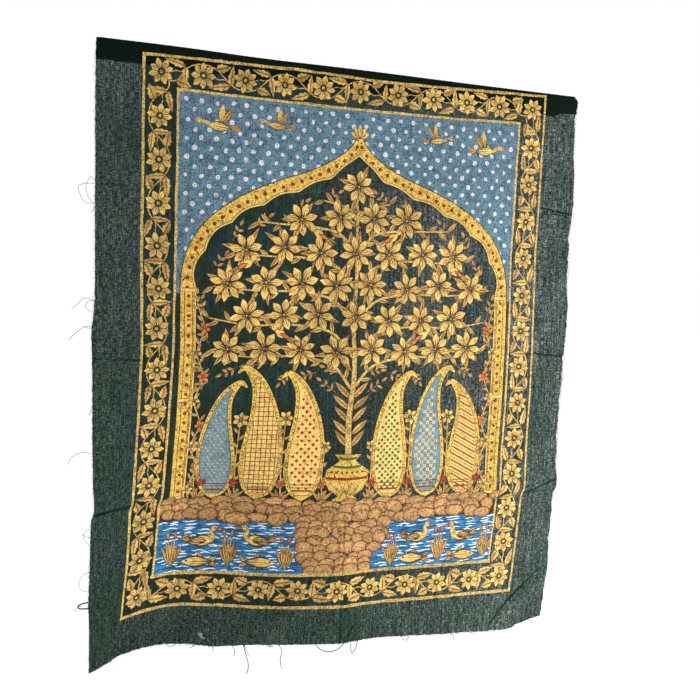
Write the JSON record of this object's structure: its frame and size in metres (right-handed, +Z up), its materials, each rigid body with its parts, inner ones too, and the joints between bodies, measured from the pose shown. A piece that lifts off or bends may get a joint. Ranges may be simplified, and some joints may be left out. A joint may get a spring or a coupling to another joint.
{
  "type": "painted cloth hanging",
  "caption": "Hand-painted cotton wall hanging with raw cut edges, a floral border and a painted picture panel, hung by its folded top edge",
  "frame": {"origin": "middle of the top fold line, in the middle of the cloth's thickness", "axes": "+Z up along the hanging cloth, +X to the right as seen from the painted side, and the painted side faces -Y"},
  "size_m": [0.9303, 0.0669, 1.0958],
  "materials": {
    "dyed_cotton": "matte"
  },
  "bodies": {
    "root": {"cloth": "dyed_cotton"}
  },
  "joints": []
}
